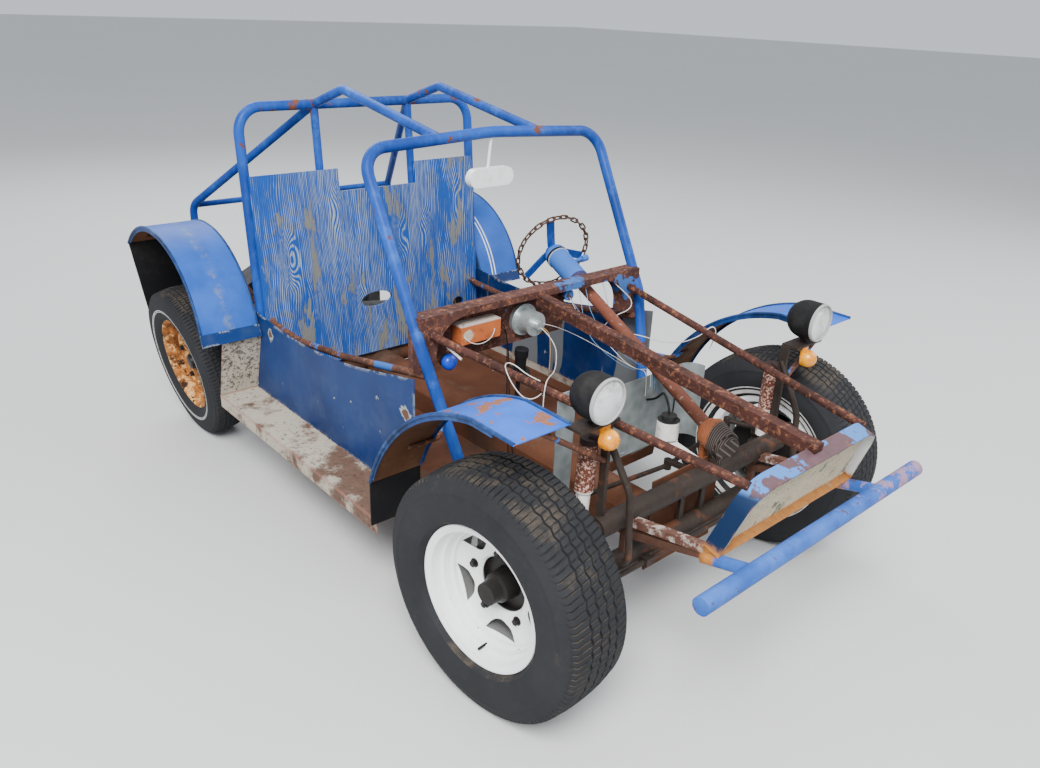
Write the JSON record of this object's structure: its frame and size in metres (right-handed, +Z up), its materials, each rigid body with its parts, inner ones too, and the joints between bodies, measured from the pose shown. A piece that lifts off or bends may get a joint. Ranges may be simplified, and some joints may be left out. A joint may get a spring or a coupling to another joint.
{
  "type": "dune buggy",
  "caption": "Home-built open dune buggy with a tube frame, plywood seat back, round headlamps, swing axle and steered wide front wheels.",
  "frame": {"origin": "on the ground under the middle of the vehicle's length and width", "axes": "+X to the driver's left, +Y to the rear, +Z up"},
  "size_m": [1.592, 3.1598, 1.4902],
  "materials": {
    "hoop_paint": "brushed blue enamel, scuffed to rust",
    "rusty_steel": "old primer gone to rust",
    "pan_steel": "rusty floor sheet",
    "fender_paint": "light blue enamel with rust spots",
    "panel_paint": "dark blue enamel, chipped edges",
    "board_metal": "cream primer wearing to rust",
    "plywood": "weathered blue paint over open grain",
    "galvanised": "dull zinc sheet",
    "screen": "cream woven screen with rust",
    "lamp_black": "matte black shells",
    "lamp_glass": "fluted clear glass",
    "amber": "amber lens",
    "greasy_iron": "oily black iron with rust",
    "shock_paint": "red paint going to rust",
    "tyre_rubber": "dusty black tyre",
    "flap_rubber": "black rubber sheet",
    "wheel_white": "white enamel",
    "wheel_rust": "bare steel, deep orange rust",
    "hub_iron": "black drums and caps",
    "white_plastic": "white plastic, dusty",
    "orange_plastic": "orange plastic box, white lid, stained",
    "instrument": "plain aluminium can",
    "engine_alloy": "oxidised alloy castings",
    "shroud_black": "black tinware"
  },
  "bodies": {
    "root": {"floor_pan": "pan_steel", "backbone": "pan_steel", "main_hoop": "hoop_paint", "windshield_hoop": "hoop_paint", "roof_braces": "hoop_paint", "rear_frame": "hoop_paint", "dash": "rusty_steel", "hood_rails": "rusty_steel", "grille_frame": "hoop_paint", "fender_stays": "rusty_steel", "grille_mesh": "screen", "front_bumper": "hoop_paint", "side_panels": "panel_paint", "side_tubes": "rusty_steel", "running_boards": "board_metal", "rear_fenders": "fender_paint", "front_fenders": "fender_paint", "flaps": "flap_rubber", "seat_back": "plywood", "toe_board": "galvanised", "headlamps": "lamp_black", "lamp_glasses": "lamp_glass", "indicators": "amber", "front_beam": "greasy_iron", "trailing_arms": "greasy_iron", "shocks": "shock_paint", "steering_box": "greasy_iron", "steering_column": "shock_paint", "brake_reservoir": "white_plastic", "speedometer": "instrument", "fuse_box": "orange_plastic", "gear_lever": "lamp_black", "mirror": "white_plastic", "transaxle": "engine_alloy", "engine": "engine_alloy", "fan_shroud": "shroud_black", "silencer": "rusty_steel"},
    "knuckle_left": {"knuckle_left": "greasy_iron"},
    "knuckle_right": {"knuckle_right": "greasy_iron"},
    "pitman_arm": {"pitman_arm": "greasy_iron"},
    "steering_wheel": {"steering_wheel": "hoop_paint"},
    "tie_rod_left": {"tie_rod_left": "greasy_iron"},
    "tie_rod_right": {"tie_rod_right": "greasy_iron"},
    "road_wheel_front_left": {"tyre_front_left": "tyre_rubber", "wheel_front_left": "wheel_white", "hub_front_left": "hub_iron"},
    "road_wheel_front_right": {"tyre_front_right": "tyre_rubber", "wheel_front_right": "wheel_white", "hub_front_right": "hub_iron"},
    "road_wheel_rear_left": {"tyre_rear_left": "tyre_rubber", "wheel_rear_left": "wheel_rust", "hub_rear_left": "hub_iron"},
    "road_wheel_rear_right": {"tyre_rear_right": "tyre_rubber", "wheel_rear_right": "wheel_rust", "hub_rear_right": "hub_iron"}
  },
  "joints": [
    {"name": "steer_left", "type": "hinge", "parent": "root", "child": "knuckle_left", "pos_m": [0.52, -1.012, 0.356], "axis": [0, 0, 1], "range_deg": [-35, 25]},
    {"name": "roll_front_left", "type": "hinge", "parent": "knuckle_left", "child": "road_wheel_front_left", "pos_m": [0.65449, -1.00023, 0.356], "axis": [0.9962, 0.0872, 0], "continuous": true},
    {"name": "roll_rear_left", "type": "hinge", "parent": "root", "child": "road_wheel_rear_left", "pos_m": [0.655, 1.02, 0.32437], "axis": [0.9903, 0, -0.1392], "continuous": true},
    {"name": "tie_rod_swing_left", "type": "hinge", "parent": "knuckle_left", "child": "tie_rod_left", "pos_m": [0.50954, -0.89246, 0.43], "axis": [0, 0, 1], "range_deg": [-25, 35]},
    {"name": "steer_right", "type": "hinge", "parent": "root", "child": "knuckle_right", "pos_m": [-0.52, -1.012, 0.356], "axis": [0, 0, 1], "range_deg": [-35, 25]},
    {"name": "roll_front_right", "type": "hinge", "parent": "knuckle_right", "child": "road_wheel_front_right", "pos_m": [-0.65449, -1.02377, 0.356], "axis": [-0.9962, -0.0872, 0], "continuous": true},
    {"name": "roll_rear_right", "type": "hinge", "parent": "root", "child": "road_wheel_rear_right", "pos_m": [-0.655, 1.02, 0.32437], "axis": [-0.9903, 0, -0.1392], "continuous": true},
    {"name": "tie_rod_swing_right", "type": "hinge", "parent": "knuckle_right", "child": "tie_rod_right", "pos_m": [-0.53046, -0.89246, 0.43], "axis": [0, 0, 1], "range_deg": [-25, 35]},
    {"name": "pitman_swing", "type": "hinge", "parent": "root", "child": "pitman_arm", "pos_m": [0.12, -1.072, 0.447], "axis": [0, 0, 1], "range_deg": [-35, 25]},
    {"name": "wheel_turn", "type": "hinge", "parent": "root", "child": "steering_wheel", "pos_m": [0.35456, -0.1064, 0.91291], "axis": [0.2167, 0.932, 0.2904], "range_deg": [-490, 350]}
  ],
  "couplings": [
    {"joint": "wheel_turn", "follows": "steer_left", "ratio": 14},
    {"joint": "steer_right", "follows": "steer_left", "ratio": 1},
    {"joint": "pitman_swing", "follows": "steer_left", "ratio": 1},
    {"joint": "tie_rod_swing_left", "follows": "steer_left", "ratio": -1},
    {"joint": "tie_rod_swing_right", "follows": "steer_left", "ratio": -1}
  ]
}
